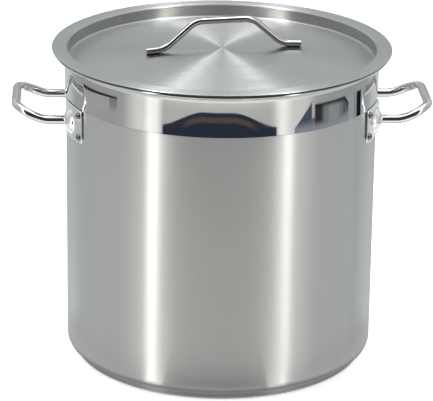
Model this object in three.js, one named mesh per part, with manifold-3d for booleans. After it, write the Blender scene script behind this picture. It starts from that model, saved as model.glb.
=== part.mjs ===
// Stock pot: a straight-sided steel pot with a capped sandwich base, two tube handles held
// in riveted brackets, and a loose recessed lid with a bent rod handle.
// Millimetres, +Z up. The origin is the centre of the underside of the base.
// The two side handles lie on the X axis, and the front of the pot faces -Y.
import * as THREE from "three";
import { mergeVertices } from "three/addons/utils/BufferGeometryUtils.js";
import Module from "manifold-3d";

const wasm = await Module();
wasm.setup();

// ---- Driving dimensions ----

const GAP = 0.3; // air left between two pieces that touch

const POT_RADIUS = 161; // outside of the brushed wall
const WALL = 1;
const SEAM_Z = 284; // where the brushed wall ends and the polished band starts
const BAND_SWELL = 1.1; // the band stands this far proud of the wall, so that the lid has room
const BAND_STEP = 2.5; // height of the step between them
const BAND_FLARE = 0.8; // extra radius gained from the step up to the rim
const BASE_CORNER = 10;
const RIM_BEND = 7; // inside radius of the bend under the rim
const RIM_TOP_Z = 328.9;
const RIM_BEAD = 1.2; // radius of the rolled edge
const RIM_RADIUS = 173.4;

const CAP_RADIUS = 152; // steel cap over the aluminium disc
const CAP_SHEET = 0.8;
const CAP_HEIGHT = 6.7;
const CAP_CORNER = 2.5;

const LID_RADIUS = 175.4;
const LID_SHEET = 0.8;
const LID_TOP_Z = 331.8;
const LID_HEM = 2.6; // thickness of the folded edge
const LID_HEM_WIDTH = 4.9;
const LID_MOUTH_BEND = 2;
const WELL_RADIUS = 159; // inside of the recess that drops into the pot
const WELL_CORNER = 1.5;
const PANEL_EDGE_Z = 317.6;
const PANEL_CROWN = 11; // the panel's centre is this much higher than its edge

const LID_ROD = 3.5; // radius of the rod
const LID_GRIP_TURN = THREE.MathUtils.degToRad(11);
const LID_GRIP_SHIFT = 1.8; // the rod is welded this far off centre, along its own line
const LID_GRIP_FOOT_END = 82; // half lengths along the rod's line
const LID_GRIP_FOOT_BEND = 62.3;
const LID_GRIP_TOP_BEND = 30.3;
const LID_GRIP_RISE = 27.7;
const LID_GRIP_BEND_RUN = 9; // length of leg that each bend uses up on either side of its corner

const LEG_Z = 265.5; // height of the side handles' legs, and the middle of the brackets
const LEG_OFFSET = 45.25; // from the handle's middle plane to each leg
const TUBE_RADIUS = 4.75;
const TUBE_WALL = 1.2;
const HANDLE_REACH = 212.1; // from the pot's axis to the middle of the grip
const HANDLE_CORNER = 20.5;
const HANDLE_RISE = 14; // what the climb would reach at HANDLE_RISE_TO, a little beyond the grip
const HANDLE_RISE_FROM = 16.5; // from the wall, where the legs start to climb
const HANDLE_RISE_TO = 61.5;
const FLARE_RADIUS = 6.3; // the swaged end that holds the tube inside its dome
const FLARE_THICKNESS = 1.2;

const PLATE_SHEET = 1.6; // the plate's face, and its edges, which are turned down to the wall
const PLATE_HEIGHT = 35.3;
const PLATE_WIDTH = 45.8;
const PLATE_CORNER = 3.5;
const PLATE_ANGLE = THREE.MathUtils.degToRad(18.8); // middle of the plate, from the X axis
const PLATE_BEND = 250; // radius of its face, which lies close to the wall only at the rivets
const PLATE_HOLLOW = 26; // width of the hollow under the face, next to the edge near the X axis
const DOME_REACH = 170.4; // from the pot's axis to the top of the dome
const DOME_SPHERE = 14.6; // outside radius of the dome
const DOME_SHEET = 1.6;

const RIVET_ANGLE = THREE.MathUtils.degToRad(24.8);
const RIVET_PITCH = 22.7;
const RIVET_SHANK = 2.3;
const RIVET_HEAD_RADIUS = 3.7;
const RIVET_HEAD_HEIGHT = 2.9;
const RIVET_TAIL_RADIUS = 4;
const RIVET_TAIL_HEIGHT = 1.1;
const RIVET_TAIL_CHAMFER = 0.6;

const ROUND_SEGMENTS = 48; // facets around the pot
const PLATE_SEGMENTS = 236; // facets around the circle that the plates are cut from
const TUBE_SEGMENTS = 12; // facets around a tube or a rod
const TUBE_STEPS = 36; // facets along a side handle
const ROD_STEPS = 40; // facets along the lid's handle
const DOME_SEGMENTS = 20; // facets around a dome
const DOME_RINGS = 14; // facets from pole to pole of its sphere
const CORNER_SEGMENTS = 3; // facets around a plate's corner
const RIVET_SEGMENTS = 10;
const PANEL_RINGS = 4; // facets from the middle of the lid's panel to its edge
const ARC_STEPS = 2; // each arc of a profile has twice this many facets
const CUT = 3; // how far a cutting tool runs past the sheet that it cuts

// ---- Derived dimensions ----

const WALL_INSIDE = POT_RADIUS - WALL;
const POT_UNDERSIDE_Z = CAP_HEIGHT + GAP;
const BAND_START = POT_RADIUS + BAND_SWELL;
const BAND_END = BAND_START + BAND_FLARE;
const RIM_UNDERSIDE_Z = RIM_TOP_Z - 2 * RIM_BEAD;
const PLATE_BACK = POT_RADIUS + GAP;
const PLATE_FACE = PLATE_BACK + PLATE_SHEET; // at the rivets
const DOME_CENTRE = DOME_REACH - DOME_SPHERE; // from the pot's axis
const DOME_ANGLE = Math.asin(LEG_OFFSET / DOME_CENTRE); // so that the leg points at its centre
const DOME_CENTRE_X = DOME_CENTRE * Math.cos(DOME_ANGLE);

// ---- Materials ----

const metal = (color, roughness) =>
  new THREE.MeshStandardMaterial({ color, roughness, metalness: 1 });
const polishedSteel = metal(0xd2d4d6, 0.12);
const brushedSteel = metal(0xb4b5b3, 0.34);
const lidSteel = metal(0xb9bdbf, 0.3);
const plainAluminium = metal(0xa9abae, 0.5);

// ---- Solid tools ----

// A closed geometry as a solid that can be joined and cut.
function solidOf(geometry) {
  const shape = new THREE.BufferGeometry();
  shape.setAttribute("position", geometry.getAttribute("position").clone());
  shape.setIndex(geometry.index);
  const merged = mergeVertices(shape, 1e-4);
  return new wasm.Manifold(
    new wasm.Mesh({
      numProp: 3,
      vertProperties: new Float32Array(merged.getAttribute("position").array),
      triVerts: new Uint32Array(merged.index.array),
    }),
  );
}

function geometryOf(solid) {
  const mesh = solid.getMesh();
  const geometry = new THREE.BufferGeometry();
  geometry.setAttribute("position", new THREE.BufferAttribute(mesh.vertProperties, 3));
  geometry.setIndex(new THREE.BufferAttribute(mesh.triVerts, 1));
  return geometry;
}

// A profile of (radius, height) turned about the Z axis.
function turned(profile, segments) {
  return new THREE.LatheGeometry(profile.getPoints(ARC_STEPS), segments).rotateX(Math.PI / 2);
}

// A round bar along +X from `from` to `to`, on the axis y = 0, z = 0.
function barAlongX(radius, from, to, segments) {
  const bar = new THREE.CylinderGeometry(radius, radius, to - from, segments);
  return bar.rotateZ(Math.PI / 2).translate((from + to) / 2, 0, 0);
}

// ---- Pot ----

function potProfile() {
  const outer = new THREE.Path();
  const cornerR = POT_RADIUS - BASE_CORNER;
  const cornerZ = POT_UNDERSIDE_Z + BASE_CORNER;
  const bendR = BAND_END + RIM_BEND;
  const bendZ = RIM_UNDERSIDE_Z - RIM_BEND;
  const beadR = RIM_RADIUS - RIM_BEAD;
  outer.moveTo(0, POT_UNDERSIDE_Z);
  outer.lineTo(cornerR, POT_UNDERSIDE_Z);
  outer.absarc(cornerR, cornerZ, BASE_CORNER, -Math.PI / 2, 0, false);
  outer.lineTo(POT_RADIUS, SEAM_Z);
  outer.lineTo(BAND_START, SEAM_Z + BAND_STEP);
  outer.absarc(bendR, bendZ, RIM_BEND, Math.PI, Math.PI / 2, true);
  outer.absarc(beadR, RIM_TOP_Z - RIM_BEAD, RIM_BEAD, -Math.PI / 2, Math.PI / 2, false);
  outer.lineTo(beadR - RIM_BEAD, RIM_UNDERSIDE_Z + WALL);
  outer.absarc(bendR, bendZ, RIM_BEND + WALL, Math.PI / 2, Math.PI, false);
  outer.lineTo(BAND_START - WALL, SEAM_Z + BAND_STEP);
  outer.lineTo(WALL_INSIDE, SEAM_Z);
  outer.absarc(cornerR, cornerZ, BASE_CORNER - WALL, 0, -Math.PI / 2, true);
  outer.lineTo(0, POT_UNDERSIDE_Z + WALL);
  return outer;
}

// One hole through the wall and a bracket for each rivet.
function rivetHoles() {
  const clearance = RIVET_SHANK + GAP;
  const hole = solidOf(barAlongX(clearance, WALL_INSIDE - CUT, PLATE_FACE + CUT, RIVET_SEGMENTS));
  const holes = [];
  for (const side of [0, 180])
    for (const turn of [-RIVET_ANGLE, RIVET_ANGLE])
      for (const up of [-RIVET_PITCH / 2, RIVET_PITCH / 2])
        holes.push(
          hole
            .rotate([0, 0, side + THREE.MathUtils.radToDeg(turn)])
            .translate([0, 0, LEG_Z + up]),
        );
  return holes;
}

function potBody() {
  let body = solidOf(turned(potProfile(), ROUND_SEGMENTS));
  for (const hole of rivetHoles()) body = body.subtract(hole);
  return geometryOf(body);
}

// ---- Sandwich base ----

function capProfile() {
  const cup = new THREE.Path();
  const cornerR = CAP_RADIUS - CAP_CORNER;
  cup.moveTo(0, 0);
  cup.lineTo(cornerR, 0);
  cup.absarc(cornerR, CAP_CORNER, CAP_CORNER, -Math.PI / 2, 0, false);
  cup.lineTo(CAP_RADIUS, CAP_HEIGHT);
  cup.lineTo(CAP_RADIUS - CAP_SHEET, CAP_HEIGHT);
  cup.absarc(cornerR, CAP_CORNER, CAP_CORNER - CAP_SHEET, 0, -Math.PI / 2, true);
  cup.lineTo(0, CAP_SHEET);
  return cup;
}

function coreProfile() {
  const disc = new THREE.Path();
  const bottom = CAP_SHEET + GAP;
  const edge = CAP_RADIUS - CAP_SHEET - GAP;
  const chamfer = CAP_CORNER - CAP_SHEET;
  disc.moveTo(0, bottom);
  disc.lineTo(edge - chamfer, bottom);
  disc.lineTo(edge, bottom + chamfer);
  disc.lineTo(edge, CAP_HEIGHT - GAP);
  disc.lineTo(0, CAP_HEIGHT - GAP);
  return disc;
}

// ---- Lid ----

// Height of the crowned panel's upper face, a shallow parabola.
const panelFlat = WELL_RADIUS - WELL_CORNER;
const panelZ = (r) => PANEL_EDGE_Z + PANEL_CROWN * (1 - (r / panelFlat) ** 2);

function lidProfile() {
  const top = new THREE.Path();
  const wellZ = PANEL_EDGE_Z + WELL_CORNER;
  const mouthR = WELL_RADIUS + LID_MOUTH_BEND;
  const mouthZ = LID_TOP_Z - LID_MOUTH_BEND;
  const hem = LID_HEM / 2;
  const undersideZ = LID_TOP_Z - LID_SHEET;
  const rings = Array.from({ length: PANEL_RINGS }, (_, i) => (panelFlat * i) / PANEL_RINGS);
  top.moveTo(0, panelZ(0) - LID_SHEET);
  for (const r of rings.slice(1)) top.lineTo(r, panelZ(r) - LID_SHEET);
  top.absarc(panelFlat, wellZ, WELL_CORNER + LID_SHEET, -Math.PI / 2, 0, false);
  top.absarc(mouthR, mouthZ, LID_MOUTH_BEND - LID_SHEET, Math.PI, Math.PI / 2, true);
  top.lineTo(LID_RADIUS - LID_HEM_WIDTH, undersideZ);
  top.lineTo(LID_RADIUS - LID_HEM_WIDTH, LID_TOP_Z - LID_HEM);
  top.absarc(LID_RADIUS - hem, LID_TOP_Z - hem, hem, -Math.PI / 2, Math.PI / 2, false);
  top.absarc(mouthR, mouthZ, LID_MOUTH_BEND, Math.PI / 2, Math.PI, false);
  top.absarc(panelFlat, wellZ, WELL_CORNER, 0, -Math.PI / 2, true);
  for (const r of rings.reverse()) top.lineTo(r, panelZ(r));
  return top;
}

// The rod's centre line: foot, slope, top, slope, foot, with a smooth bend at each corner.
function lidGripPath() {
  const foot = (x) => panelZ(x) + LID_ROD + GAP;
  const topZ = foot(LID_GRIP_FOOT_BEND) + LID_GRIP_RISE;
  const top = () => topZ;
  const corners = [
    [-LID_GRIP_FOOT_END, foot],
    [-LID_GRIP_FOOT_BEND, foot],
    [-LID_GRIP_TOP_BEND, top],
    [LID_GRIP_TOP_BEND, top],
    [LID_GRIP_FOOT_BEND, foot],
    [LID_GRIP_FOOT_END, foot],
  ].map(([x, level]) => new THREE.Vector3(x + LID_GRIP_SHIFT, 0, level(x + LID_GRIP_SHIFT)));
  const path = new THREE.CurvePath();
  let from = corners[0];
  for (let i = 1; i < corners.length - 1; i++) {
    const back = corners[i - 1].clone().sub(corners[i]).setLength(LID_GRIP_BEND_RUN);
    const on = corners[i + 1].clone().sub(corners[i]).setLength(LID_GRIP_BEND_RUN);
    const bendStart = corners[i].clone().add(back);
    const bendEnd = corners[i].clone().add(on);
    path.add(new THREE.LineCurve3(from, bendStart));
    path.add(new THREE.QuadraticBezierCurve3(bendStart, corners[i], bendEnd));
    from = bendEnd;
  }
  path.add(new THREE.LineCurve3(from, corners.at(-1)));
  return path;
}

const circle = (radius) => new THREE.Shape().absarc(0, 0, radius, 0, 2 * Math.PI, false);

function lidGrip() {
  return new THREE.ExtrudeGeometry(circle(LID_ROD), {
    extrudePath: lidGripPath(),
    steps: ROD_STEPS,
    curveSegments: TUBE_SEGMENTS / 2,
  });
}

// ---- Side handle, on the +X side, with its legs at z = 0 ----

// The tube's centre line: a U in plan that climbs smoothly from its legs to its grip.
class HandleLoop extends THREE.Curve {
  constructor(startX) {
    super();
    this.startX = startX;
    this.leg = HANDLE_REACH - HANDLE_CORNER - startX;
    this.bend = (HANDLE_CORNER * Math.PI) / 2;
    this.halfGrip = LEG_OFFSET - HANDLE_CORNER;
    this.half = this.leg + this.bend + this.halfGrip;
  }
  getPoint(t, target = new THREE.Vector3()) {
    const side = t < 0.5 ? -1 : 1;
    const along = this.half * (1 - Math.abs(2 * t - 1));
    const cornerX = HANDLE_REACH - HANDLE_CORNER;
    let x = this.startX + along;
    let y = LEG_OFFSET;
    if (along > this.leg + this.bend) {
      x = HANDLE_REACH;
      y = this.half - along;
    } else if (along > this.leg) {
      const turn = (along - this.leg) / HANDLE_CORNER;
      x = cornerX + HANDLE_CORNER * Math.sin(turn);
      y = this.halfGrip + HANDLE_CORNER * Math.cos(turn);
    }
    const z =
      HANDLE_RISE *
      THREE.MathUtils.smoothstep(x - POT_RADIUS, HANDLE_RISE_FROM, HANDLE_RISE_TO);
    return target.set(x, side * y, z);
  }
}

function handleTube() {
  const bore = TUBE_RADIUS - TUBE_WALL;
  const innerDome = DOME_SPHERE - DOME_SHEET - GAP;
  const flareFace = DOME_CENTRE_X + Math.sqrt(innerDome ** 2 - FLARE_RADIUS ** 2);
  const flareBack = flareFace - FLARE_THICKNESS;
  const ring = circle(TUBE_RADIUS);
  ring.holes.push(circle(bore));
  const tube = new THREE.ExtrudeGeometry(ring, {
    extrudePath: new HandleLoop(flareBack),
    steps: TUBE_STEPS,
    curveSegments: TUBE_SEGMENTS / 2,
  });
  const midWall = TUBE_RADIUS - TUBE_WALL / 2;
  const collar = solidOf(barAlongX(FLARE_RADIUS, flareBack, flareFace, TUBE_SEGMENTS)).subtract(
    solidOf(barAlongX(midWall, flareBack - CUT, flareFace + CUT, TUBE_SEGMENTS)),
  );
  return geometryOf(
    solidOf(tube)
      .add(collar.translate([0, LEG_OFFSET, 0]))
      .add(collar.translate([0, -LEG_OFFSET, 0])),
  );
}

// ---- Bracket for the leg at +Y, with its middle at z = 0 ----

function roundedRectangle(width, height, corner) {
  const [w, h] = [width / 2 - corner, height / 2 - corner];
  const outline = new THREE.Shape();
  outline.absarc(w, h, corner, 0, Math.PI / 2, false);
  outline.absarc(-w, h, corner, Math.PI / 2, Math.PI, false);
  outline.absarc(-w, -h, corner, Math.PI, 1.5 * Math.PI, false);
  outline.absarc(w, -h, corner, 1.5 * Math.PI, 2 * Math.PI, false);
  return outline;
}

// The plate's outline, or a part of it between two widths from its edge near the X axis,
// drawn in by `inset` above and below, as a block that runs through the plate.
function plateBlock(from, to, inset) {
  const depth = 2 * DOME_SPHERE;
  const outline = roundedRectangle(to - from, PLATE_HEIGHT - 2 * inset, PLATE_CORNER);
  const block = new THREE.ExtrudeGeometry(outline, {
    depth,
    bevelEnabled: false,
    curveSegments: CORNER_SEGMENTS,
  });
  block.translate((from + to - PLATE_WIDTH) / 2, 0, PLATE_BACK - depth / 2);
  block.rotateX(Math.PI / 2);
  block.rotateZ(Math.PI / 2 + PLATE_ANGLE);
  return solidOf(block);
}

// Everything that lies at least `depth` behind the plate's face.
function behindFace(depth) {
  const drum = new THREE.CylinderGeometry(
    PLATE_BEND - depth,
    PLATE_BEND - depth,
    2 * PLATE_HEIGHT,
    PLATE_SEGMENTS,
  );
  drum.rotateX(Math.PI / 2).translate(PLATE_FACE - PLATE_BEND, 0, 0).rotateZ(RIVET_ANGLE);
  return solidOf(drum);
}

function domeSphere(radius) {
  const sphere = new THREE.SphereGeometry(radius, DOME_SEGMENTS, DOME_RINGS);
  return solidOf(sphere.rotateZ(Math.PI / 2).translate(DOME_CENTRE_X, LEG_OFFSET, 0));
}

function bracket() {
  const wall = new THREE.CylinderGeometry(PLATE_BACK, PLATE_BACK, 2 * PLATE_HEIGHT, PLATE_SEGMENTS);
  const hollow = plateBlock(PLATE_SHEET, PLATE_HOLLOW, PLATE_SHEET);
  const clearance = RIVET_SHANK + GAP;
  const rivetTurn = THREE.MathUtils.radToDeg(RIVET_ANGLE);
  const rivetHole = solidOf(
    barAlongX(clearance, PLATE_BACK - CUT, PLATE_FACE + CUT, RIVET_SEGMENTS),
  ).rotate([0, 0, rivetTurn]);
  const tubeHole = solidOf(
    barAlongX(TUBE_RADIUS + GAP, DOME_CENTRE_X, DOME_REACH + CUT, 1.5 * TUBE_SEGMENTS),
  ).translate([0, LEG_OFFSET, 0]);
  const made = plateBlock(0, PLATE_WIDTH, 0)
    .intersect(behindFace(0))
    .subtract(hollow.intersect(behindFace(PLATE_SHEET)))
    .add(domeSphere(DOME_SPHERE))
    .subtract(solidOf(wall.rotateX(Math.PI / 2)))
    .subtract(domeSphere(DOME_SPHERE - DOME_SHEET))
    .subtract(tubeHole)
    .subtract(rivetHole.translate([0, 0, RIVET_PITCH / 2]))
    .subtract(rivetHole.translate([0, 0, -RIVET_PITCH / 2]));
  return geometryOf(made);
}

// A rivet along +X: flat tail inside the pot, shank, and button head outside the bracket.
function rivet() {
  const tailFace = WALL_INSIDE - 2 * GAP;
  const headBack = PLATE_FACE + GAP;
  const headSphere = (RIVET_HEAD_RADIUS ** 2 + RIVET_HEAD_HEIGHT ** 2) / (2 * RIVET_HEAD_HEIGHT);
  const headCentre = headBack + RIVET_HEAD_HEIGHT - headSphere;
  const headStart = Math.asin((headBack - headCentre) / headSphere);
  const shape = new THREE.Path();
  shape.moveTo(0, tailFace - RIVET_TAIL_HEIGHT);
  shape.lineTo(RIVET_TAIL_RADIUS - RIVET_TAIL_CHAMFER, tailFace - RIVET_TAIL_HEIGHT);
  shape.lineTo(RIVET_TAIL_RADIUS, tailFace);
  shape.lineTo(RIVET_SHANK, tailFace);
  shape.lineTo(RIVET_SHANK, headBack);
  shape.absarc(0, headCentre, headSphere, headStart, Math.PI / 2, false);
  const points = shape.getPoints(ARC_STEPS);
  points.at(-1).x = 0;
  return new THREE.LatheGeometry(points, RIVET_SEGMENTS).rotateZ(-Math.PI / 2);
}

// ---- Assembly ----

function piece(name, geometry, material) {
  const mesh = new THREE.Mesh(geometry, material.clone());
  mesh.name = name;
  return mesh;
}

const tubeGeometry = handleTube();
const bracketGeometry = bracket();
const rivetGeometry = rivet();

// The bracket and rivets of one leg. Half a turn about X carries them to the other leg.
function legFittings(name, turn) {
  const fittings = new THREE.Group();
  fittings.rotation.x = turn;
  fittings.add(piece(name + "_bracket", bracketGeometry, polishedSteel));
  for (const [place, up] of [["upper", 1], ["lower", -1]]) {
    const pin = piece(`${name}_rivet_${place}`, rivetGeometry, polishedSteel);
    pin.rotation.z = RIVET_ANGLE;
    pin.position.z = (up * Math.cos(turn) * RIVET_PITCH) / 2;
    fittings.add(pin);
  }
  return fittings;
}

// Half a turn about Z carries the right handle to the left, and swaps its front and rear legs.
function sideHandle(side, turn, [positiveLeg, negativeLeg]) {
  const handle = new THREE.Group();
  handle.position.z = LEG_Z;
  handle.rotation.z = turn;
  handle.add(piece(side + "_handle", tubeGeometry, polishedSteel));
  handle.add(legFittings(`${side}_${positiveLeg}`, 0));
  handle.add(legFittings(`${side}_${negativeLeg}`, Math.PI));
  return handle;
}

const lid = new THREE.Group();
const grip = piece("lid_handle", lidGrip(), polishedSteel);
grip.rotation.z = LID_GRIP_TURN;
lid.add(piece("lid_pan", turned(lidProfile(), ROUND_SEGMENTS), lidSteel), grip);

const stockPot = new THREE.Group();
stockPot.add(
  piece("pot_body", potBody(), brushedSteel),
  piece("base_core", turned(coreProfile(), ROUND_SEGMENTS), plainAluminium),
  piece("base_cap", turned(capProfile(), ROUND_SEGMENTS), brushedSteel),
  sideHandle("right", 0, ["rear", "front"]),
  sideHandle("left", Math.PI, ["front", "rear"]),
  lid,
);

export default stockPot;
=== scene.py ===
import math

import bpy
from mathutils import Matrix, Vector

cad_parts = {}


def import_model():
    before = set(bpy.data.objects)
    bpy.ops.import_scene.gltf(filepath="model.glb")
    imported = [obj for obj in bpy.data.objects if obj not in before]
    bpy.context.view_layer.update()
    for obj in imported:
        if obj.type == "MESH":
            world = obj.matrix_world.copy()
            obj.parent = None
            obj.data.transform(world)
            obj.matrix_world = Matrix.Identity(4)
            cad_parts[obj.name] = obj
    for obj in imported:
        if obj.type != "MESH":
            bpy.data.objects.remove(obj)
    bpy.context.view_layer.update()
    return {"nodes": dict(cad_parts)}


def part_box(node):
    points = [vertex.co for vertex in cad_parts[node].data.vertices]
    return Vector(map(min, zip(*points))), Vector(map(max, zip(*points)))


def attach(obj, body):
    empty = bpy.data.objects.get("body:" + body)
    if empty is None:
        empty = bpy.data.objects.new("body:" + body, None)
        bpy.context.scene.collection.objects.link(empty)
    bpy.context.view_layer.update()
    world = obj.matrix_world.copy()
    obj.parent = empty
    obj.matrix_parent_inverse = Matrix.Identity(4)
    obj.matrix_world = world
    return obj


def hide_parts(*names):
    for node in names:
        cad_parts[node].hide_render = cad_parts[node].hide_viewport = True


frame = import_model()

# Metres throughout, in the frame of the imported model: +Z up, handles on the X axis, front towards -Y.
MM = 0.001
ROUND = 256  # facets around a turned piece
ARC = 10  # facets along one bend of a profile
SAME = 0.0001 * MM  # points closer than this are one point


# ---------------------------------------------------------------- sizes read from the frame

def node_points(node):
    """Positions of all the vertices of a CAD node."""
    return [v.co for v in frame["nodes"][node].data.vertices]


def off_axis(point):
    """Distance of a point from the Z axis."""
    return math.hypot(point.x, point.y)


def widest(node, low=-1.0, high=1.0):
    """Largest distance from the Z axis of a CAD node's points between two heights."""
    return max(off_axis(p) for p in node_points(node) if low <= p.z <= high)


pot_low, pot_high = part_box("pot_body")
lid_low, lid_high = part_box("lid_pan")
middle_z = (pot_low.z + pot_high.z) / 2

WALL_R = widest("pot_body", high=middle_z)
ON_WALL = 0.02 * MM  # how far a point that counts as on the wall may be off its radius
SEAM_Z = max(p.z for p in node_points("pot_body") if abs(off_axis(p) - WALL_R) < ON_WALL)
RIM_R = widest("pot_body")
RIM_TOP = pot_high.z
POT_BOTTOM = pot_low.z
CAP_R = widest("base_cap")
CAP_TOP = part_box("base_cap")[1].z
LID_R = widest("lid_pan")
LID_TOP = lid_high.z

# Sheets, bends and small steps, in the CAD's own sizes where it has them.
CLEAR = 0.3 * MM  # the gap that stands for contact between neighbours
WALL_T = 1.0 * MM
BAND_R = WALL_R + 1.1 * MM
BAND_STEP = 0.1 * MM
# Height of the wall just under the seam that is painted dark as shade.
SEAM_SHADE = 0.5 * MM
BAND_FLARE = 0.8 * MM
RIM_BEND = 7.0 * MM
RIM_BEAD = 1.2 * MM
BASE_CORNER = 10.0 * MM
CAP_ROUND = 2.5 * MM
CAP_SHEET = 0.8 * MM
CAP_LIP = 0.1 * MM

LID_T = 0.8 * MM
LID_HEM = 2.6 * MM
LID_HEM_W = 4.9 * MM
HEM_ROUND = 0.4 * MM
WELL_R = LID_R - 16.4 * MM
WELL_CORNER = 1.5 * MM
MOUTH_BEND = 2.0 * MM
PANEL_EDGE = lid_low.z + LID_T
PANEL_CROWN = 11.0 * MM


# ---------------------------------------------------------------- mesh tools

def arc(centre_r, centre_z, radius, start, end, steps=ARC):
    """Points on a circular arc of a profile, from one angle to another in degrees."""
    points = []
    for i in range(steps + 1):
        a = math.radians(start + (end - start) * i / steps)
        points.append((centre_r + radius * math.cos(a), centre_z + radius * math.sin(a)))
    return points


def new_piece(name, vertices, faces, materials, face_materials=None, sharp=40):
    """A mesh object, shaded smooth but for edges that bend by more than `sharp` degrees."""
    mesh = bpy.data.meshes.new(name)
    mesh.from_pydata(vertices, [], faces)
    for material in materials:
        mesh.materials.append(material)
    if face_materials:
        mesh.polygons.foreach_set("material_index", face_materials)
    mesh.shade_smooth()
    mesh.set_sharp_from_angle(angle=math.radians(sharp))
    mesh.update()
    piece = bpy.data.objects.new(name, mesh)
    bpy.context.scene.collection.objects.link(piece)
    return piece


def turned(name, runs, segments=ROUND):
    """Turns a profile about Z. runs is a list of (material, points) that follow each other, from the
    axis back to the axis."""
    materials = list(dict.fromkeys(material for material, run in runs))
    points, numbers = [], []
    for material, run in runs:
        for point in run:
            if points and math.dist(points[-1], point) < SAME:
                continue
            points.append(point)
            numbers.append(materials.index(material))
    vertices, rings = [], []
    for r, z in points:
        if r < SAME:
            rings.append([len(vertices)] * segments)
            vertices.append((0.0, 0.0, z))
            continue
        rings.append(list(range(len(vertices), len(vertices) + segments)))
        for k in range(segments):
            a = 2 * math.pi * k / segments
            vertices.append((r * math.cos(a), r * math.sin(a), z))
    faces, face_materials = [], []
    for i in range(len(rings) - 1):
        for k in range(segments):
            n = (k + 1) % segments
            corners = [rings[i][k], rings[i][n], rings[i + 1][n], rings[i + 1][k]]
            faces.append(list(dict.fromkeys(corners)))
            face_materials.append(numbers[i + 1])
    return new_piece(name, vertices, faces, materials, face_materials)


def swept(name, path, radii, bore, material, sides=32):
    """A round tube along a path. radii gives the outer radius at each point; bore is the inner
    radius, or 0 for a solid rod."""
    tangents = []
    for i in range(len(path)):
        tangents.append((path[min(i + 1, len(path) - 1)] - path[max(i - 1, 0)]).normalized())
    across = tangents[0].orthogonal().normalized()
    vertices, loops = [], []
    for point, tangent, radius in zip(path, tangents, radii):
        across = (across - across.dot(tangent) * tangent).normalized()
        other = tangent.cross(across)
        for r in ([radius, bore] if bore else [radius]):
            for k in range(sides):
                a = 2 * math.pi * k / sides
                vertices.append(point + r * (math.cos(a) * across + math.sin(a) * other))
        loops.append(len(vertices))
    layers = 2 if bore else 1
    stride = layers * sides
    faces = []
    for i in range(len(path) - 1):
        for k in range(sides):
            n = (k + 1) % sides
            a, b = i * stride, (i + 1) * stride
            faces.append([a + k, a + n, b + n, b + k])
            if bore:
                faces.append([a + sides + n, a + sides + k, b + sides + k, b + sides + n])
    last = (len(path) - 1) * stride
    if bore:
        for k in range(sides):
            n = (k + 1) % sides
            faces.append([n, k, sides + k, sides + n])
            faces.append([last + k, last + n, last + sides + n, last + sides + k])
    else:
        faces.append(list(reversed(range(sides))))
        faces.append([last + k for k in range(sides)])
    return new_piece(name, vertices, faces, [material])


def place(piece, node, body):
    """Hides the CAD node that a finished piece stands for, and puts the piece on its body."""
    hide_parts(node)
    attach(piece, body)


# ---------------------------------------------------------------- materials

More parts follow.
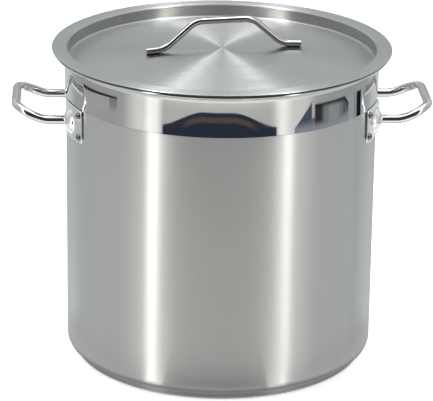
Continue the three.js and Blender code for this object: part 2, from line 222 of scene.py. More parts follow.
class Shader:
    """A short way to write a node tree. node() adds a node and returns it, surface() and metal() end the
    tree, and the rest add a node and return its output."""

    def __init__(self, tree):
        self.tree = tree
        tree.nodes.clear()

    def node(self, kind, inputs=None, **settings):
        """Adds a node. inputs gives sockets by name or number, and settings its other properties."""
        made = self.tree.nodes.new(kind)
        for key, value in settings.items():
            setattr(made, key, value)
        for key, value in (inputs or {}).items():
            if isinstance(value, bpy.types.NodeSocket):
                self.tree.links.new(value, made.inputs[key])
            else:
                made.inputs[key].default_value = value
        return made

    def math(self, operation, a, b=0.0):
        return self.node("ShaderNodeMath", {0: a, 1: b}, operation=operation).outputs[0]

    def vector(self, operation, a, b=None, output=0):
        """A vector sum, product or measure; the second operand of SCALE is a plain number."""
        inputs = {0: a} if b is None else {0: a, ("Scale" if operation == "SCALE" else 1): b}
        return self.node("ShaderNodeVectorMath", inputs, operation=operation).outputs[output]

    def split(self, vector):
        """The X, Y and Z of a vector."""
        return self.node("ShaderNodeSeparateXYZ", {0: vector}).outputs

    def mix(self, factor, a, b):
        """A mix of two plain values."""
        return self.node("ShaderNodeMix", {0: factor, 2: a, 3: b}).outputs[0]

    def ramp(self, value, low, high, to_low, to_high, kind="LINEAR"):
        """Takes low...high to to_low...to_high, and holds the end values outside."""
        inputs = {0: value, 1: low, 2: high, 3: to_low, 4: to_high}
        return self.node("ShaderNodeMapRange", inputs, interpolation_type=kind).outputs[0]

    def step(self, value, low, high, to_low=0.0, to_high=1.0):
        """A smooth step from one value to another."""
        return self.ramp(value, low, high, to_low, to_high, "SMOOTHSTEP")

    def window(self, value, low, high, soft):
        """1 between low and high, with soft edges, and 0 outside them."""
        rise = self.step(value, low - soft, low + soft)
        fall = self.step(value, high - soft, high + soft, 1.0, 0.0)
        return self.math("MULTIPLY", rise, fall)

    def noise(self, vector, scale, detail=3.0, roughness=0.5):
        inputs = {"Vector": vector, "Scale": scale, "Detail": detail, "Roughness": roughness}
        return self.node("ShaderNodeTexNoise", inputs).outputs["Fac"]

    def bump(self, height, strength, depth):
        inputs = {"Strength": strength, "Distance": depth, "Height": height}
        return self.node("ShaderNodeBump", inputs).outputs[0]

    def blend(self, factor, a, b):
        """A mix of two colours; the Mix node's colour sockets are found by their identifiers."""
        made = self.tree.nodes.new("ShaderNodeMix")
        made.data_type = "RGBA"
        sockets = {x.identifier: x for x in made.inputs}
        for key, value in (("Factor_Float", factor), ("A_Color", a), ("B_Color", b)):
            if isinstance(value, bpy.types.NodeSocket):
                self.tree.links.new(value, sockets[key])
            else:
                sockets[key].default_value = value if key == "Factor_Float" else (*value, 1.0)
        return next(x for x in made.outputs if x.identifier == "Result_Color")

    def metal(self, colour, roughness, normal, **others):
        """Ends the tree in a metal. others gives more sockets, with underscores between their words."""
        inputs = {"Base Color": colour, "Metallic": 1.0, "Roughness": roughness, "Normal": normal}
        inputs.update({key.replace("_", " ").title(): value for key, value in others.items()})
        self.surface(self.node("ShaderNodeBsdfPrincipled", inputs))

    def surface(self, shader):
        self.node("ShaderNodeOutputMaterial", {"Surface": shader.outputs[0]})


def new_material(name):
    material = bpy.data.materials.new(name)
    material.use_nodes = True
    return material, Shader(material.node_tree)


def shaded(colour, share):
    return tuple(c * share for c in colour)


def brushed_steel(name, colour, roughness, anisotropy, grain=1.0, stain=0.06):
    """Steel brushed round the Z axis: long fine scratches that vary its gloss, and a faint uneven stain.
    grain is the strength of the scratches, and stain the share by which they are darker."""
    material, s = new_material(name)
    where = s.node("ShaderNodeTexCoord").outputs["Object"]
    x, y, z = s.split(where)
    radius = s.vector("LENGTH", s.vector("MULTIPLY", where, (1.0, 1.0, 0.0)), output="Value")
    across = s.math("ADD", radius, z)

    def streaks(fine, coarse, detail):
        """Noise drawn out along the brushing: fine is its scale across it, and coarse along it."""
        spread = s.node("ShaderNodeCombineXYZ", {
            0: s.math("MULTIPLY", across, fine),
            1: s.math("MULTIPLY", x, coarse),
            2: s.math("MULTIPLY", y, coarse),
        }).outputs[0]
        return s.noise(spread, 1.0, detail, 0.6)

    hair = streaks(fine=2600.0, coarse=9.0, detail=2.0)
    bands = streaks(fine=260.0, coarse=4.0, detail=4.0)
    patches = s.noise(where, scale=7.0, detail=3.0, roughness=0.55)
    lines = s.math("ADD", s.math("MULTIPLY", hair, 0.75), s.math("MULTIPLY", bands, 0.25))
    rough = s.ramp(lines, 0.3, 0.7, roughness - 0.05 * grain, roughness + 0.06 * grain)
    rough = s.math("ADD", rough, s.ramp(patches, 0.35, 0.65, -0.012, 0.012))
    tone = s.blend(s.ramp(lines, 0.35, 0.65, 0.0, 1.0), shaded(colour, 1 - stain), colour)
    tone = s.blend(s.ramp(patches, 0.4, 0.7, 0.0, 0.35), tone, shaded(colour, 0.93))
    bump = s.bump(lines, strength=0.10 * grain, depth=0.05 * MM)
    tangent = s.node("ShaderNodeTangent", direction_type="RADIAL", axis="Z").outputs[0]
    s.metal(tone, rough, bump, anisotropic=anisotropy, anisotropic_rotation=0.25, tangent=tangent)
    return material


def polished_steel(name, colour, roughness, ripple=0.02, scale=60.0, underside_shade=1.0):
    """Buffed steel: nearly a mirror, with soft ripples, faint hairlines and smudges in its gloss.
    The last argument is the share of brightness that faces turned down keep: painted shade under the piece."""
    material, s = new_material(name)
    where = s.node("ShaderNodeTexCoord").outputs["Object"]
    smudge = s.noise(where, scale=38.0, detail=4.0, roughness=0.6)
    drawn_out = s.vector("MULTIPLY", where, (60.0, 60.0, 2400.0))
    hair = s.noise(drawn_out, scale=1.0, detail=2.0)
    rough = s.ramp(smudge, 0.35, 0.7, roughness * 0.7, roughness * 1.5)
    rough = s.math("ADD", rough, s.ramp(hair, 0.5, 0.8, 0.0, 0.02))
    tone = s.blend(s.ramp(smudge, 0.4, 0.75, 0.0, 0.5), colour, shaded(colour, 0.9))
    # Painted shade: faces that turn down are darkened.
    if underside_shade < 1.0:
        facing = s.split(s.node("ShaderNodeNewGeometry").outputs["Normal"])[2]
        tone = s.vector("SCALE", tone, s.step(facing, -0.35, 0.05, underside_shade, 1.0))
    waves = s.noise(where, scale, detail=1.0, roughness=0.4)
    s.metal(tone, rough, s.bump(waves, strength=ripple, depth=1.0 * MM))
    return material


def cast_aluminium(name):
    """Plain grainy aluminium."""
    material, s = new_material(name)
    where = s.node("ShaderNodeTexCoord").outputs["Object"]
    grain = s.noise(where, scale=420.0, detail=4.0, roughness=0.6)
    tone = s.blend(grain, (0.62, 0.63, 0.64), (0.74, 0.74, 0.75))
    s.metal(tone, s.ramp(grain, 0.3, 0.7, 0.4, 0.6), s.bump(grain, strength=0.2, depth=0.1 * MM))
    return material


WALL_STEEL = brushed_steel("brushed_wall_steel", (0.63, 0.63, 0.62), 0.30, 1.0, grain=0.2, stain=0.03)
INSIDE_STEEL = brushed_steel("brushed_inside_steel", (0.60, 0.60, 0.59), 0.36, 0.7, grain=1.3)
LID_STEEL = brushed_steel("brushed_lid_steel", (0.66, 0.67, 0.675), 0.33, 1.0, grain=1.5, stain=0.12)
BASE_STEEL = brushed_steel("brushed_base_steel", (0.55, 0.55, 0.56), 0.32, 0.8, grain=0.8, stain=0.08)
BAND_STEEL = polished_steel("polished_band_steel", (0.60, 0.60, 0.59), 0.018, ripple=0.012, scale=25.0)
# The lid's well wall is darker than the rest of the lid: painted shade in the recess.
SHADED_WELL_STEEL = brushed_steel("brushed_well_steel_painted_shade", (0.40, 0.39, 0.37), 0.15, 0.9, grain=0.6, stain=0.08)
# The lid's rod: steel painted darker, with painted shade under it.
SHADED_ROD_STEEL = polished_steel("polished_rod_steel_painted_shade", (0.56, 0.55, 0.52), 0.10, ripple=0.02, underside_shade=0.3)
TUBE_STEEL = polished_steel("polished_tube_steel", (0.70, 0.70, 0.69), 0.06, ripple=0.02)
# Bracket steel painted near-white: painted light for the bright table that the plates face.
LIT_PLATE_STEEL = polished_steel("polished_plate_steel_painted_light", (0.95, 0.95, 0.96), 0.08, ripple=0.12, scale=90.0)
# Rivet steel painted dark: painted shade round the heads.
SHADED_RIVET_STEEL = polished_steel("polished_rivet_steel_painted_shade", (0.18, 0.18, 0.19), 0.12, ripple=0.05, scale=200.0)
# Near-black steel: painted shade in the seam under the band, under the lid's hem, on the cap's foot and lip,
# and in the rivets' dimples.
SHADE_STEEL = polished_steel("painted_shade_steel", (0.05, 0.05, 0.055), 0.25, ripple=0.02)
CORE_ALUMINIUM = cast_aluminium("core_aluminium")


# ---------------------------------------------------------------- pot

STEP_ROWS, BAND_ROWS = 8, 16  # rows of facets up the step, and up the band and round the rim's bend


def smoothstep(x, low, high):
    """0 below low, 1 above high, and a smooth rise between them."""
    t = min(max((x - low) / (high - low), 0.0), 1.0)
    return t * t * (3 - 2 * t)


def band_radius(share):
    """The polished band leaves the wall straight and flares more and more towards the rim."""
    return BAND_R + BAND_FLARE * share ** 2


def build_pot():
    """The drawn shell: base corner, wall, a seam with a low step that is painted dark as shade, band, rolled
    rim and inside.
    """
    corner_r, corner_z = WALL_R - BASE_CORNER, POT_BOTTOM + BASE_CORNER
    band_low = SEAM_Z + BAND_STEP
    bend_r = BAND_R + BAND_FLARE + RIM_BEND
    bend_z = RIM_TOP - 2 * RIM_BEAD - RIM_BEND
    bead_r, bead_z = RIM_R - RIM_BEAD, RIM_TOP - RIM_BEAD
    corner = [(0.0, POT_BOTTOM)] + arc(corner_r, corner_z, BASE_CORNER, -90, 0)
    wall = [(WALL_R, corner_z), (WALL_R, SEAM_Z - SEAM_SHADE)]
    step = [(WALL_R, SEAM_Z - SEAM_SHADE)]
    for i in range(STEP_ROWS + 1):
        t = i / STEP_ROWS
        step.append((WALL_R + (BAND_R - WALL_R) * smoothstep(t, 0.0, 1.0), SEAM_Z + BAND_STEP * t))
    band = []
    for i in range(BAND_ROWS + 1):
        t = i / BAND_ROWS
        band.append((band_radius(t), band_low + (bend_z - band_low) * t))
    band += arc(bend_r, bend_z, RIM_BEND, 180, 90, BAND_ROWS)
    band += arc(bead_r, bead_z, RIM_BEAD, -90, 90)
    band += [(bead_r - RIM_BEAD, RIM_TOP - 2 * RIM_BEAD + WALL_T)]
    band += arc(bend_r, bend_z, RIM_BEND + WALL_T, 90, 180, BAND_ROWS)
    inside = [(BAND_R - WALL_T, band_low), (WALL_R - WALL_T, SEAM_Z)]
    inside += arc(corner_r, corner_z, BASE_CORNER - WALL_T, 0, -90)
    inside += [(0.0, POT_BOTTOM + WALL_T)]
    # The seam's step and the strip under it are painted dark as shade.
    runs = [(BASE_STEEL, corner), (WALL_STEEL, wall), (SHADE_STEEL, step)]
    runs += [(BAND_STEEL, band), (INSIDE_STEEL, inside)]
    place(turned("pot_shell", runs), "pot_body", "pot")


def build_cap():
    """The steel cup under the base; its rounded foot and the edge where it meets the wall are painted dark
    as shade.
    """
    corner_r = CAP_R - CAP_ROUND
    under = [(0.0, 0.0), (corner_r, 0.0)]
    foot = arc(corner_r, CAP_ROUND, CAP_ROUND, -90, -40)
    outside = arc(corner_r, CAP_ROUND, CAP_ROUND, -40, 0) + [(CAP_R, CAP_TOP - CAP_LIP)]
    lip = [(CAP_R, CAP_TOP - CAP_LIP), (CAP_R - CAP_LIP, CAP_TOP), (CAP_R - CAP_SHEET, CAP_TOP)]
    inside = arc(corner_r, CAP_ROUND, CAP_ROUND - CAP_SHEET, 0, -90) + [(0.0, CAP_SHEET)]
    # The foot and the lip are painted dark as shade.
    runs = [(BASE_STEEL, under), (SHADE_STEEL, foot), (BASE_STEEL, outside)]
    runs += [(SHADE_STEEL, lip), (BASE_STEEL, inside)]
    place(turned("base_cap_cup", runs), "base_cap", "pot")


# ---------------------------------------------------------------- lid

PANEL_ROWS = 24  # rows of facets from the panel's middle to its corner


def panel_z(r):
    """Height of the crowned panel's upper face."""
    return PANEL_EDGE + PANEL_CROWN * (1 - (r / (WELL_R - WELL_CORNER)) ** 2)


def build_lid():
    """The lid's one sheet: crowned panel, well wall, bent mouth, flange and the hem under its edge."""
    flat = WELL_R - WELL_CORNER
    well_z = PANEL_EDGE + WELL_CORNER
    mouth_r, mouth_z = WELL_R + MOUTH_BEND, LID_TOP - MOUTH_BEND
    hem_r, hem_z = LID_R - LID_HEM_W, LID_TOP - LID_HEM + HEM_ROUND
    fold = LID_HEM / 2
    fold_r, fold_z = LID_R - fold, LID_TOP - fold
    rings = [flat * i / PANEL_ROWS for i in range(PANEL_ROWS + 1)]
    under = [(r, panel_z(r) - LID_T) for r in rings[:-1]]
    under += arc(flat, well_z, WELL_CORNER + LID_T, -90, 0)
    under += arc(mouth_r, mouth_z, MOUTH_BEND - LID_T, 180, 90)
    under += [(hem_r, LID_TOP - LID_T), (hem_r, hem_z)]
    under += arc(hem_r + HEM_ROUND, hem_z, HEM_ROUND, 180, 270, 4)
    shadow_side = arc(fold_r, fold_z, fold, -90, 18)
    top = arc(fold_r, fold_z, fold, 18, 90)
    top += arc(mouth_r, mouth_z, MOUTH_BEND, 90, 180)
    well = [(WELL_R, mouth_z), (WELL_R, well_z)]
    panel = arc(flat, well_z, WELL_CORNER, 0, -90) + [(r, panel_z(r)) for r in reversed(rings)]
    runs = [(LID_STEEL, under), (SHADE_STEEL, shadow_side), (LID_STEEL, top)]
    runs += [(SHADED_WELL_STEEL, well), (LID_STEEL, panel)]
    place(turned("lid_sheet", runs), "lid_pan", "lid")


def rounded_path(corners, run, steps=12):
    """A path through straight stretches, with a smooth bend at every corner that uses up `run` of each
    of its two stretches."""
    points = [corners[0]]
    for before, corner, after in zip(corners, corners[1:], corners[2:]):
        start = corner + (before - corner).normalized() * run
        end = corner + (after - corner).normalized() * run
        for i in range(steps + 1):
            t = i / steps
            points.append((1 - t) ** 2 * start + 2 * t * (1 - t) * corner + t * t * end)
    points.append(corners[-1])
    return points


def lie_of(node):
    """Turn about Z of a long level piece, its half length, and how far along itself its middle lies
    from the Z axis."""
    points = node_points(node)
    middle = sum(points, Vector()) / len(points)
    xx = sum((p.x - middle.x) ** 2 for p in points)
    yy = sum((p.y - middle.y) ** 2 for p in points)
    xy = sum((p.x - middle.x) * (p.y - middle.y) for p in points)
    turn = math.atan2(2 * xy, xx - yy) / 2
    along = [p.x * math.cos(turn) + p.y * math.sin(turn) for p in points]
    return turn, (max(along) - min(along)) / 2, (max(along) + min(along)) / 2


ROD_R = 3.5 * MM
ROD_CHAMFER = 0.5 * MM
ROD_SINK = 0.05 * MM  # how far the feet sink into the panel
FOOT_BEND, TOP_BEND = 62.3 * MM, 30.3 * MM  # distance of the rod's bends from its middle
ROD_BEND = 9.0 * MM


def build_lid_handle():
    """One rod: a foot, a rise, a level grip, a fall and a foot."""
    turn, foot_end, shift = lie_of("lid_handle")
    top_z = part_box("lid_handle")[1].z - ROD_R
    line = Vector((math.cos(turn), math.sin(turn), 0.0))

    def corner(r, on_top):
        at = r + shift
        return at * line + Vector((0.0, 0.0, top_z if on_top else panel_z(at) + ROD_R - ROD_SINK))

    half = [(foot_end, False), (FOOT_BEND, False), (TOP_BEND, True)]
    corners = [corner(-r, on_top) for r, on_top in half]
    corners += [corner(r, on_top) for r, on_top in reversed(half)]
    path = rounded_path(corners, ROD_BEND)
    first, last = (path[1] - path[0]).normalized(), (path[-2] - path[-1]).normalized()
    path.insert(1, path[0] + first * ROD_CHAMFER)
    path.insert(-1, path[-1] + last * ROD_CHAMFER)
    radii = [ROD_R - ROD_CHAMFER] + [ROD_R] * (len(path) - 2) + [ROD_R - ROD_CHAMFER]
    place(swept("lid_handle_rod", path, radii, 0.0, SHADED_ROD_STEEL), "lid_handle", "lid")


# ---------------------------------------------------------------- side handles

TUBE_R, TUBE_BORE = 4.75 * MM, 3.55 * MM
FLARE_R, FLARE_T = 6.3 * MM, 1.2 * MM
FLARE_STEP = 0.01 * MM  # length over which the tube widens into its flare
HANDLE_CORNER = 20.5 * MM
GRIP_RISE = 14.0 * MM
RISE_FROM, RISE_TO = 16.5 * MM, 61.5 * MM  # distances from the wall between which a leg rises

bracket_low, bracket_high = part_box("right_rear_bracket")
handle_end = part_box("right_handle")[1]
rivet_low, rivet_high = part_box("right_rear_rivet_upper")
bracket_turns = [math.atan2(p.y, p.x) for p in node_points("right_rear_bracket")]

LEG_Z = (bracket_low.z + bracket_high.z) / 2
LEG_Y = handle_end.y - FLARE_R
HANDLE_REACH = handle_end.x - TUBE_R
RIVET_ANGLE = math.atan2(rivet_low.y + rivet_high.y, rivet_low.x + rivet_high.x)

PLATE_T = 1.6 * MM
PLATE_H = bracket_high.z - bracket_low.z
PLATE_W = (max(bracket_turns) - min(bracket_turns)) * WALL_R
PLATE_ANGLE = (max(bracket_turns) + min(bracket_turns)) / 2
PLATE_CORNER = 3.5 * MM
PLATE_BEND = 250.0 * MM
PLATE_BACK = WALL_R + CLEAR
PLATE_FACE = PLATE_BACK + PLATE_T
DOME_SPHERE, DOME_T = 14.6 * MM, 1.6 * MM
DOME_FRONT = 170.4 * MM  # distance of the dome's foremost point from the Z axis
DOME_CENTRE = DOME_FRONT - DOME_SPHERE
DOME_ANGLE = math.asin(LEG_Y / DOME_CENTRE)
DOME_X = DOME_CENTRE * math.cos(DOME_ANGLE)


LEG_ROWS, CORNER_ROWS, GRIP_ROWS = 24, 16, 5  # rows of facets along a leg, a corner and half the grip


def handle_path(start_x):
    """The side handle's centre line on +X: leg, corner, grip, corner, leg. It climbs from the wall
    outwards."""
    corner_x, half_grip = HANDLE_REACH - HANDLE_CORNER, LEG_Y - HANDLE_CORNER
    plan = [(start_x + (corner_x - start_x) * i / LEG_ROWS, LEG_Y) for i in range(LEG_ROWS + 1)]
    for i in range(1, CORNER_ROWS + 1):
        a = math.radians(90 * i / CORNER_ROWS)
        plan.append((corner_x + HANDLE_CORNER * math.sin(a), half_grip + HANDLE_CORNER * math.cos(a)))
    plan += [(HANDLE_REACH, half_grip * (1 - i / GRIP_ROWS)) for i in range(1, GRIP_ROWS + 1)]
    plan += [(x, -y) for x, y in reversed(plan[:-1])]
    return [Vector((x, y, LEG_Z + GRIP_RISE * smoothstep(x - WALL_R, RISE_FROM, RISE_TO))) for x, y in plan]


def build_side_handle(side, turn):
    """A bent tube whose ends are flared inside the brackets' domes."""
    spin = Matrix.Rotation(turn, 4, "Z")
    start_x = DOME_X + math.sqrt((DOME_SPHERE - DOME_T - CLEAR) ** 2 - FLARE_R ** 2)
    path = handle_path(start_x)
    out = (path[0] - path[1]).normalized()
    collar = [path[0] + out * FLARE_T, path[0] + out * FLARE_STEP]
    path = [spin @ p for p in collar + path + [Vector((p.x, -p.y, p.z)) for p in reversed(collar)]]
    radii = [FLARE_R] * 2 + [TUBE_R] * (len(path) - 4) + [FLARE_R] * 2
    tube = swept(f"{side}_handle_tube", path, radii, TUBE_BORE, TUBE_STEEL)
    place(tube, f"{side}_handle", "pot")


# ---------------------------------------------------------------- brackets and rivets

SPOKES = 96  # rays of facets round a bracket's hole
SPOKE_ROWS, EDGE_ROWS = 26, 5  # rows of facets along a ray, and round the turned-down edge
ROW_SPREAD = 1.15  # above 1, the rows are closer together near the hole
HALVINGS = 40  # of the search for a ray's end
PLATE_EDGE = 0.9 * MM  # radius of the turned-down edge
PLATE_FILLET = 1.6 * MM  # how far the dome and the plate blend into each other
HOLE_R = TUBE_R + 0.15 * MM
LIP = 0.98 * PLATE_T  # width of the edge that faces the wall


def outline_reach(origin, direction, width, height, corner):
    """Distance from origin, along direction, to the edge of a rounded rectangle centred on (0, 0)."""
    low, high = 0.0, width + height
    for _ in range(HALVINGS):
        mid = (low + high) / 2
        x, y = origin[0] + direction[0] * mid, origin[1] + direction[1] * mid
        qx, qy = abs(x) - width / 2 + corner, abs(y) - height / 2 + corner
        outside = math.hypot(max(qx, 0.0), max(qy, 0.0)) + min(max(qx, qy), 0.0) - corner
        low, high = (mid, high) if outside < 0 else (low, mid)
    return (low + high) / 2


def plate_level(angle):
    """Height of the plate's face over its back. Its curve is gentler than the wall's and touches it at
    the rivets."""
    centre = PLATE_FACE - PLATE_BEND
    d = angle - RIVET_ANGLE
    return centre * math.cos(d) + math.sqrt(PLATE_BEND ** 2 - (centre * math.sin(d)) ** 2) - PLATE_BACK


def dome_level(s, h, radius):
    """Height over the plate's back of a ball round the dome's centre."""
    d = math.hypot(s, h)
    rise = math.sqrt(radius ** 2 - d ** 2) if d < radius else -radius
    return DOME_CENTRE - PLATE_BACK + rise


def bracket_face(s, h):
    """The plate's level or the dome's, joined by a soft fillet."""
    plate, dome = plate_level(DOME_ANGLE + s / WALL_R), dome_level(s, h, DOME_SPHERE)
    blend = max(PLATE_FILLET - abs(plate - dome), 0.0) / PLATE_FILLET
    return max(plate, dome) + blend * blend * PLATE_FILLET / 4


def bracket_back(s, h):
    plate = plate_level(DOME_ANGLE + s / WALL_R) - PLATE_T
    return max(plate, dome_level(s, h, DOME_SPHERE - DOME_T), 0.0)


def bracket_spoke(way, reach, hole_s):
    """The closed outline of a bracket along one ray from its hole, as points (s, h, n)."""
    def at(distance):
        return hole_s + way[0] * distance, way[1] * distance

    out, under = [], []
    for i in range(SPOKE_ROWS + 1):
        share = (i / SPOKE_ROWS) ** ROW_SPREAD
        s, h = at(HOLE_R + (reach - PLATE_EDGE - HOLE_R) * share)
        out.append((s, h, bracket_face(s, h)))
        s, h = at(HOLE_R + (reach - PLATE_T - HOLE_R) * share)
        under.append((s, h, bracket_back(s, h)))
    top = out[-1][2]
    for i in range(1, EDGE_ROWS + 1):
        b = math.radians(90 * i / EDGE_ROWS)
        along = reach - PLATE_EDGE + PLATE_EDGE * math.sin(b)
        out.append((*at(along), top - PLATE_EDGE + PLATE_EDGE * math.cos(b)))
    out.append((*at(reach), 0.0))
    under.append((*at(reach - LIP), 0.0))
    return out + list(reversed(under))


def build_bracket(leg, turn, flip):
    """A pressed plate with its edge turned down to the wall, and a hollow dome round the handle's leg.
    Worked out for the +X, +Y leg in arc length s along the wall, height h and distance n from the
    plate's back; flip gives the other leg of the same handle."""
    plate_s = (PLATE_ANGLE - DOME_ANGLE) * WALL_R
    hole_s = -DOME_SPHERE * math.sin(DOME_ANGLE)
    move = Matrix.Rotation(turn, 4, "Z")

    def world(s, h, n):
        a = DOME_ANGLE + s / WALL_R
        h, a = (-h, -a) if flip else (h, a)
        return move @ Vector(((PLATE_BACK + n) * math.cos(a), (PLATE_BACK + n) * math.sin(a), LEG_Z + h))

    vertices, faces = [], []
    for k in range(SPOKES):
        a = 2 * math.pi * k / SPOKES
        way = (math.cos(a), math.sin(a))
        reach = outline_reach((hole_s - plate_s, 0.0), way, PLATE_W, PLATE_H, PLATE_CORNER)
        vertices += [world(*point) for point in bracket_spoke(way, reach, hole_s)]
    count = len(vertices) // SPOKES
    for k in range(SPOKES):
        a, b = k * count, ((k + 1) % SPOKES) * count
        for i in range(count):
            j = (i + 1) % count
            faces.append([a + i, a + j, b + j, b + i])
    plate = new_piece(f"{leg}_plate", vertices, faces, [LIT_PLATE_STEEL], sharp=50)
    place(plate, f"{leg}_bracket", "pot")


HEAD_R, HEAD_H = 3.7 * MM, 2.9 * MM
HEAD_UNDERCUT = 0.3 * MM
PIN_R = 2.3 * MM
TAIL_R, TAIL_T = 4.0 * MM, 1.1 * MM
TAIL_SLOPE, TAIL_RIM = 0.6 * MM, 0.5 * MM
TAIL_FACE = WALL_R - WALL_T - 0.02 * MM
DIMPLE_R, DIMPLE = 1.0 * MM, 0.7 * MM


def build_rivet(node):
    """A rivet through wall and plate, along the radius at its CAD node: a flat tail inside the pot, a pin,
    and a domed head with a dimple. Its steel is painted dark as shade, and the dimple near-black as shade.
    The profile runs from the tail outwards."""
    low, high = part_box(node)
    centre = (low + high) / 2
    turn = math.atan2(centre.y, centre.x)
    ball = (HEAD_R ** 2 + HEAD_H ** 2) / (2 * HEAD_H)
    head_back = PLATE_FACE - 0.05 * MM
    crown = head_back + HEAD_H
    start = math.degrees(math.asin((head_back - crown + ball) / ball))
    tail_end = TAIL_FACE - TAIL_T
    tail = [(0.0, tail_end), (TAIL_R - TAIL_SLOPE, tail_end), (TAIL_R, TAIL_FACE - TAIL_RIM)]
    tail += [(TAIL_R, TAIL_FACE), (PIN_R, TAIL_FACE), (PIN_R, head_back)]
    dome = arc(0.0, crown - ball, ball, start, 90, 16)
    head = [(HEAD_R - HEAD_UNDERCUT, head_back)] + [(r, z) for r, z in dome if r > DIMPLE_R]
    dimple = [(0.8 * DIMPLE_R, crown - 0.12 * MM), (0.55 * DIMPLE_R, crown - DIMPLE), (0.0, crown - DIMPLE)]
    rivet = turned(f"{node}_pin", [(SHADED_RIVET_STEEL, tail + head), (SHADE_STEEL, dimple)], segments=40)
    lie_down = Matrix.Rotation(turn, 4, "Z") @ Matrix.Rotation(math.pi / 2, 4, "Y")
    rivet.data.transform(Matrix.Translation((0.0, 0.0, centre.z)) @ lie_down)
    place(rivet, node, "pot")


build_pot()
build_cap()
build_lid()
build_lid_handle()
for side, turn in (("right", 0.0), ("left", math.pi)):
    build_side_handle(side, turn)
for leg, turn, flip in (("right_rear", 0.0, False), ("right_front", 0.0, True),
                        ("left_front", math.pi, False), ("left_rear", math.pi, True)):
    build_bracket(leg, turn, flip)
    for level in ("upper", "lower"):
        build_rivet(f"{leg}_rivet_{level}")

# The core is shut inside the base and keeps its CAD mesh.
core = frame["nodes"]["base_core"]
core.data.materials.clear()
core.data.materials.append(CORE_ALUMINIUM)


# ---------------------------------------------------------------- stage
#
# Azimuths and elevations are in degrees, as seen from the pot: azimuth 0 is towards the camera, and
# positive azimuths are on the picture's right.

VIEW_TURN = -3.0  # the camera stands a little to the left of the pot's front
FLOOR_HALF = 12.0
FLOOR_GLOW = 0.6
WHITE = (1.0, 1.0, 1.0)


def polar(azimuth, distance, height=0.0):
    """The point at an azimuth and a distance from the pot's axis."""
    a = math.radians(azimuth + VIEW_TURN)
    return (math.sin(a) * distance, -math.cos(a) * distance, height)


def build_floor():
    """White to the camera and to soft light. Reflections look through it, to the studio all round."""
    edge = FLOOR_HALF
    corners = [(-edge, -edge, 0), (edge, -edge, 0), (edge, edge, 0), (-edge, edge, 0)]
    material, s = new_material("floor_paint")
    where = s.node("ShaderNodeTexCoord").outputs["Object"]
    tone = s.blend(s.noise(where, scale=0.8, detail=2.0), (0.86, 0.86, 0.86), (0.88, 0.88, 0.88))
    paint = s.node("ShaderNodeBsdfDiffuse", {"Color": tone})
    glow = s.node("ShaderNodeEmission", {"Color": (*WHITE, 1.0), "Strength": FLOOR_GLOW})
    s.surface(s.node("ShaderNodeAddShader", {0: paint.outputs[0], 1: glow.outputs[0]}))
    floor = new_piece("floor", corners, [[0, 1, 2, 3]], [material])
    floor.visible_glossy = False


# What stands on the table, as the polished band shows it.
HEAP_TOP, HEAP_DROP = -21.5, 2.25
NAVY = (0.035, 0.042, 0.07)
BROWN = (0.135, 0.095, 0.085)
BLACK_LINE = (0.006, 0.006, 0.014)
BOX_GREY, BOX_STRIPE = (0.52, 0.52, 0.51), (0.24, 0.24, 0.28)
WEDGE_TOP, WEDGE_FOOT = (0.09, 0.12, 0.16), (0.34, 0.38, 0.44)
CABINET_TINT = (0.92, 0.98, 1.06)
POST_LIGHT, POST_DARK = (0.36, 0.38, 0.40), (0.012, 0.012, 0.025)


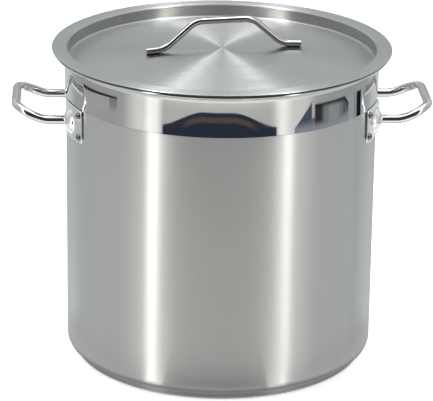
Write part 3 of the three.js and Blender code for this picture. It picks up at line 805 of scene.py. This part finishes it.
def table_things(s, azimuth, elevation, base):
    """Lays dark shapes over the studio, low down: a rounded heap in front, a flat box on the left, and a
    wedge, a cabinet and a post on the right. In the band, lower elevations show higher up."""
    low = s.step(elevation, -16.9, -16.4, 1.0, 0.0)

    def lay(under, mask, colour):
        return s.blend(s.math("MULTIPLY", mask, low), under, colour)

    def both(a, b):
        return s.math("MULTIPLY", a, b)

    def beyond(height):
        """1 past an edge, given the elevation over it."""
        return s.step(height, -0.06, 0.06)

    def over(start, slope):
        """Elevation over an edge that starts somewhere and rises evenly with the azimuth."""
        edge = s.math("ADD", both(azimuth, slope), start)
        return s.math("SUBTRACT", elevation, edge)

    beside = s.math("ABSOLUTE", s.math("ADD", azimuth, 2.0))
    heap_edge = s.math("ADD", s.step(beside, 10.0, 45.0, 0.0, HEAP_DROP), HEAP_TOP)
    heap = s.math("SUBTRACT", elevation, heap_edge)
    out = lay(base, both(beyond(heap), s.window(azimuth, -43.0, 41.0, 1.0)), NAVY)
    streak = both(s.window(heap, 0.6, 1.3, 0.15), s.window(azimuth, -26.0, 24.0, 5.0))
    out = lay(out, streak, BROWN)

    box = over(-23.4, -0.035)
    box_span = s.window(azimuth, -121.0, -82.0, 0.4)
    stripe = both(s.window(azimuth, -89.5, -82.0, 0.4), s.step(box, 0.3, 1.9, 0.8, 0.0))
    box_face = s.blend(stripe, BOX_GREY, BOX_STRIPE)
    box_face = s.blend(s.step(box, 0.9, 2.2, 0.0, 0.8), box_face, base)
    out = lay(out, both(beyond(box), box_span), box_face)
    out = lay(out, both(s.window(box, 0.0, 0.19, 0.04), box_span), BLACK_LINE)

    wedge_face = s.blend(s.step(elevation, -19.4, -18.3), WEDGE_TOP, WEDGE_FOOT)
    wedge = both(beyond(over(-9.9, -0.16)), s.window(azimuth, 55.0, 69.6, 0.4))
    wedge_foot = both(s.window(azimuth, 60.0, 72.6, 0.4), s.step(elevation, -19.5, -19.1))
    out = lay(out, s.math("MAXIMUM", wedge, wedge_foot), wedge_face)

    cut_corner = s.step(azimuth, 101.0, 108.0, 0.0, 0.6)
    cabinet = s.math("SUBTRACT", over(-22.82, 0.03), cut_corner)
    shade = s.math("ADD", s.step(azimuth, 77.5, 82.0, 0.05, 0.30), s.step(azimuth, 97.0, 102.0, 0.0, -0.13))
    shade = s.math("ADD", shade, s.window(azimuth, 86.0, 95.0, 1.0))
    shade = both(s.math("MINIMUM", shade, 0.39), s.step(cabinet, 0.1, 0.5, 0.15, 1.0))
    shade = s.math("MAXIMUM", shade, s.step(elevation, -19.2, -18.0, 0.0, 0.42))
    cabinet_face = s.vector("SCALE", CABINET_TINT, shade)
    out = lay(out, both(beyond(cabinet), s.window(azimuth, 72.3, 106.5, 0.4)), cabinet_face)

    post = beyond(over(-24.1, 0.042))
    out = lay(out, both(post, s.window(azimuth, 113.5, 117.5, 0.5)), POST_LIGHT)
    return lay(out, both(post, s.window(azimuth, 117.4, 123.4, 0.3)), POST_DARK)


def room_light(s, off, elevation):
    """A light table under walls that are dark by the camera and lighter further round, with a bright
    ceiling on the camera's side. off is the azimuth without its sign."""
    table = s.step(off, 40.0, 95.0, 0.76, 0.53)
    table = s.math("ADD", table, s.step(off, 132.0, 150.0, 0.0, 0.35))
    table = s.math("MULTIPLY", table, s.step(elevation, -85.0, -45.0, 0.6, 1.0))
    table = s.math("MULTIPLY", table, s.step(elevation, -22.8, -21.3, 1.1, 0.9))
    table = s.math("MULTIPLY", table, s.step(elevation, -27.0, -23.5, 1.42, 1.0))
    walls = s.step(off, 30.0, 60.0, 0.05, 0.55)
    sides = s.math("MULTIPLY", s.step(off, 75.0, 110.0, 0.0, 0.25), s.step(elevation, 5.0, 25.0))
    walls = s.math("ADD", walls, sides)
    dim = s.math("MULTIPLY", s.step(off, 150.0, 172.0), s.step(elevation, 20.0, 40.0, 0.15, 0.40))
    walls = s.math("SUBTRACT", walls, dim)
    ceiling = s.math("SUBTRACT", elevation, s.step(off, 90.0, 120.0, 0.0, 90.0))
    walls = s.math("MULTIPLY", walls, s.step(ceiling, 55.0, 60.0, 1.0, 6.0))
    behind = s.math("MULTIPLY", s.step(off, 120.0, 140.0), s.window(elevation, 50.0, 57.0, 2.0))
    walls = s.math("MULTIPLY", walls, s.math("SUBTRACT", 1.0, s.math("MULTIPLY", behind, 0.9)))
    return s.mix(s.step(elevation, -19.0, -15.0), table, walls)


def strip_light(s, azimuth, elevation):
    """A tall strip light on either side of the camera, and its weaker, wider image on the table."""
    def beam(low, high, soft, strength):
        return s.math("MULTIPLY", s.window(azimuth, low, high, soft), strength)

    tall = s.step(elevation, 24.0, 32.0, 2.6, 9.5)
    tall = s.math("MULTIPLY", tall, s.step(elevation, 55.0, 59.0, 1.0, 0.0))
    pair = s.math("ADD", beam(-53.5, -46.0, 2.5, 1.2), beam(46.5, 53.0, 2.5, 0.95))
    high = s.math("ADD", s.math("MULTIPLY", pair, tall), beam(50.0, 70.0, 6.0, 0.2))
    left = s.math("ADD", beam(-56.0, -45.0, 3.5, 0.68), beam(-70.0, -50.0, 9.0, 0.42))
    right = s.math("ADD", beam(41.5, 50.0, 5.0, 0.45), beam(40.0, 69.0, 6.0, 0.30))
    low = s.math("MULTIPLY", s.math("ADD", left, right), s.step(elevation, -27.0, -23.5, 0.1, 1.0))
    return s.mix(s.step(elevation, -16.5, -14.0), low, high)


def build_world():
    """The studio that the steel reflects, painted by azimuth and elevation. The camera sees white."""
    world = bpy.data.worlds.new("studio")
    bpy.context.scene.world = world
    world.use_nodes = True
    s = Shader(world.node_tree)
    way = s.node("ShaderNodeTexCoord").outputs["Generated"]
    ahead = s.vector("DOT_PRODUCT", way, polar(0.0, 1.0), output="Value")
    aside = s.vector("DOT_PRODUCT", way, polar(90.0, 1.0), output="Value")
    azimuth = s.math("DEGREES", s.math("ARCTAN2", aside, ahead))
    elevation = s.math("DEGREES", s.math("ARCSINE", s.split(way)[2]))
    off = s.math("ABSOLUTE", azimuth)
    light = s.math("ADD", room_light(s, off, elevation), strip_light(s, azimuth, elevation))
    warm_to_cool = s.blend(s.step(off, 50.0, 120.0), (1.0, 0.995, 0.975), (0.955, 1.0, 1.01))
    studio = table_things(s, azimuth, elevation, s.vector("SCALE", warm_to_cool, light))
    seen = s.node("ShaderNodeLightPath").outputs["Is Camera Ray"]
    back = s.node("ShaderNodeBackground", {"Color": s.blend(seen, studio, WHITE), "Strength": 1.0})
    s.node("ShaderNodeOutputWorld", {"Surface": back.outputs[0]})


def build_overhead_light():
    """One wide soft light straight above the pot."""
    height, size, radiance = 2.2, 2.6, 0.9
    light = bpy.data.lights.new("overhead", "AREA")
    light.shape = "SQUARE"
    light.size = size
    light.energy = radiance * math.pi * size ** 2
    lamp = bpy.data.objects.new("overhead", light)
    lamp.location = (0.0, 0.0, height)
    lamp.visible_camera = False
    bpy.context.scene.collection.objects.link(lamp)


def ring_card(name, near, far, height, colour, start=0.0, end=360.0, strength=1.0):
    """A flat glowing ring, or a part of one, round the pot's foot. It shows in the steel alone."""
    steps = 48
    turns = [start + (end - start) * i / steps for i in range(steps + 1)]
    corners = [polar(a, near, height) for a in turns] + [polar(a, far, height) for a in reversed(turns)]
    material, s = new_material(name)
    s.surface(s.node("ShaderNodeEmission", {"Color": (*colour, 1.0), "Strength": strength}))
    card = new_piece(name, corners, [list(range(len(corners)))], [material])
    card.visible_camera = False
    card.visible_diffuse = False
    card.visible_shadow = False
    card.visible_transmission = False


def build_cards():
    """The pot's own shade on the table, darkest close to its foot, and the strip lights' two pools in it."""
    close, shade, pool = WALL_R + 9 * MM, WALL_R + 48 * MM, WALL_R + 28 * MM
    ring_card("contact_shade", CAP_R + 1 * MM, close, 1 * MM, (0.33, 0.33, 0.34))
    ring_card("table_shade", close, shade, 1 * MM, (0.66, 0.66, 0.65))
    for start, end in ((-31.0, -23.0), (21.0, 29.0)):
        ring_card("strip_pool", close, pool, 2 * MM, (1.0, 0.99, 0.97), start, end, strength=1.7)


CAMERA_OUT, CAMERA_UP = 16.0 * WALL_R, 6.72 * WALL_R
SENSOR, LENS = 36.0, 215.9  # millimetres, as a camera has them
PITCH, YAW, ROLL = math.radians(19.67), math.radians(-0.08), math.radians(0.785)


def build_camera():
    """A long lens, from above the lid. It looks level towards the pot, then is turned, tipped down and
    rolled."""
    data = bpy.data.cameras.new("camera")
    data.sensor_width = SENSOR
    data.lens = LENS
    camera = bpy.data.objects.new("camera", data)
    camera.location = polar(0.0, CAMERA_OUT, CAMERA_UP)
    turn = Matrix.Rotation(math.radians(VIEW_TURN) - YAW, 4, "Z")
    tip = Matrix.Rotation(math.radians(90) - PITCH, 4, "X")
    camera.rotation_mode = "QUATERNION"
    camera.rotation_quaternion = (turn @ tip @ Matrix.Rotation(ROLL, 4, "Z")).to_quaternion()
    bpy.context.scene.collection.objects.link(camera)
    bpy.context.scene.camera = camera


build_floor()
build_world()
build_overhead_light()
build_cards()
build_camera()

scene = bpy.context.scene
scene.view_settings.view_transform = "Standard"
scene.view_settings.look = "None"
